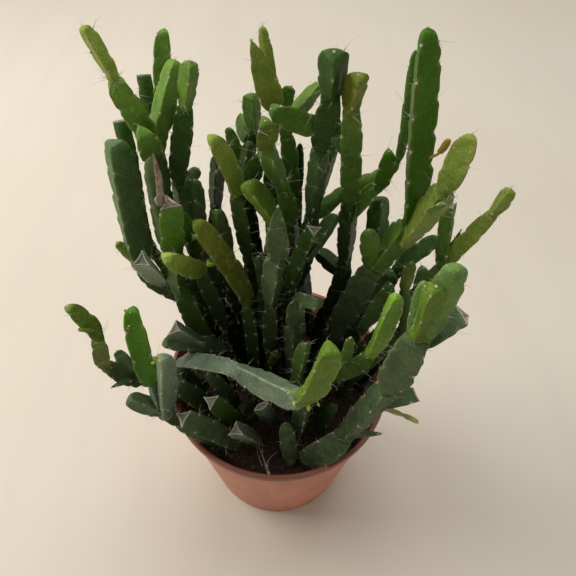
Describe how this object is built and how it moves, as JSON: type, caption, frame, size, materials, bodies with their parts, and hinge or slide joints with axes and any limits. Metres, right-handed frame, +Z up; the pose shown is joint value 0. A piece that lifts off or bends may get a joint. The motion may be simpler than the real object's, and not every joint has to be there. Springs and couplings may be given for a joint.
{
  "type": "potted plant",
  "caption": "Rhipsalis cactus in a small round nursery pot: upright ribbed green stems with narrow joints, planted in dark soil that stops just below the pot's lip.",
  "frame": {"origin": "centre of the pot's underside, in the plane it stands on", "axes": "+Z up along the pot's axis, -Y the front of the plant, +X to the right seen from the front"},
  "size_m": [0.1268, 0.092, 0.217],
  "materials": {
    "terracotta_plastic": "satin",
    "peat_soil": "matte",
    "stem_grey_green": "satin",
    "stem_green": "satin",
    "stem_dark_green": "satin",
    "stem_yellow_green": "satin"
  },
  "bodies": {
    "root": {"pot": "terracotta_plastic", "soil": "peat_soil", "stem_left_outer": "stem_grey_green", "stem_left_inner": "stem_dark_green", "stem_left_tall": "stem_yellow_green", "stem_left_mid_tall": "stem_green", "stem_left_stout": "stem_green", "stem_left_ridge": "stem_dark_green", "stem_left_short": "stem_green", "stem_left_knob": "stem_green", "stem_olive": "stem_yellow_green", "stem_rear_left": "stem_dark_green", "stem_mid_left_yellow": "stem_yellow_green", "stem_mid_back_left": "stem_green", "stem_mid_dark": "stem_dark_green", "stem_mid_fill": "stem_dark_green", "stem_mottled": "stem_yellow_green", "stem_rear_post": "stem_green", "stem_centre_tall": "stem_dark_green", "stem_centre_right_tall": "stem_green", "stem_centre_rear": "stem_dark_green", "stem_rear_thin": "stem_dark_green", "stem_centre_yellow": "stem_yellow_green", "stem_centre_post": "stem_grey_green", "stem_centre_cut": "stem_dark_green", "stem_right_diagonal": "stem_green", "stem_right_rear": "stem_dark_green", "stem_right_fill": "stem_dark_green", "stem_right_outer": "stem_yellow_green", "stem_right_bud": "stem_green", "stem_right_back": "stem_dark_green", "stem_right_bright": "stem_yellow_green", "stem_right_dark": "stem_dark_green", "stem_front_right": "stem_grey_green", "stem_front_arch": "stem_grey_green", "stem_front_post": "stem_grey_green", "stem_front_low": "stem_grey_green", "stem_front_dark": "stem_dark_green", "stem_centre_low": "stem_green", "stem_centre_hook": "stem_grey_green", "stem_left_level": "stem_grey_green", "stem_trailing_left": "stem_grey_green", "stem_far_left": "stem_grey_green", "stem_front_left_cut": "stem_grey_green", "stem_front_left_short": "stem_green", "stem_front_star": "stem_grey_green", "stem_front_curled": "stem_grey_green", "stem_front_knob": "stem_grey_green", "stem_left_low": "stem_dark_green", "stem_left_low_post": "stem_green"}
  },
  "joints": []
}
